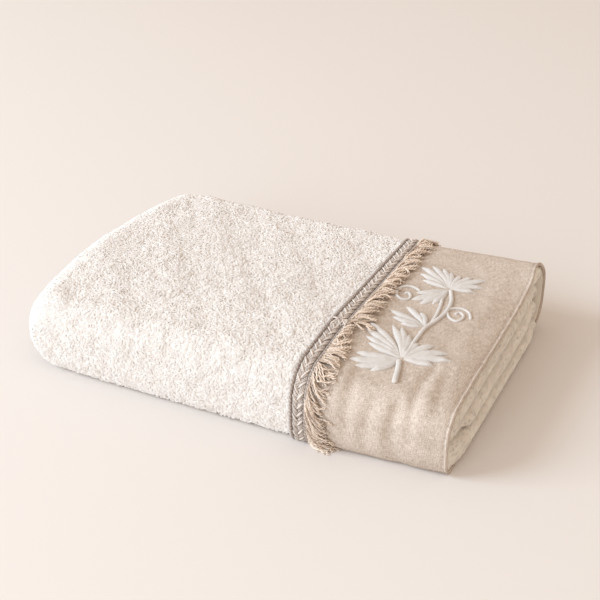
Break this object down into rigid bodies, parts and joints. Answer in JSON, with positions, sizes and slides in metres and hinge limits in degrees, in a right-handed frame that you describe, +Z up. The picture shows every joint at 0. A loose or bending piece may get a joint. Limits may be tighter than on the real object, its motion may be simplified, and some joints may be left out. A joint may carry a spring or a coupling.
{
  "type": "folded bath towel",
  "caption": "Thick looped bath towel folded flat, with a linen end panel, a plaited braid and a short fringe along the seam.",
  "frame": {"origin": "centre of the underside of the folded towel's bounding box, on the surface that it lies on", "axes": "+X along the folded length towards the linen end, +Y from the front fold to the back, +Z up"},
  "size_m": [0.3682, 0.2398, 0.0671],
  "materials": {
    "terry": "warm white cotton terry with long curled loops",
    "linen": "natural beige plain-woven linen with slubs and a rolled hem",
    "braid": "taupe and pale yarn plaited flat between two cord edges",
    "fringe": "light tan twisted yarn fringe with a soft sheen"
  },
  "bodies": {
    "root": {"terry_body": "terry", "linen_panel": "linen", "braid_trim": "braid", "fringe": "fringe"}
  },
  "joints": []
}
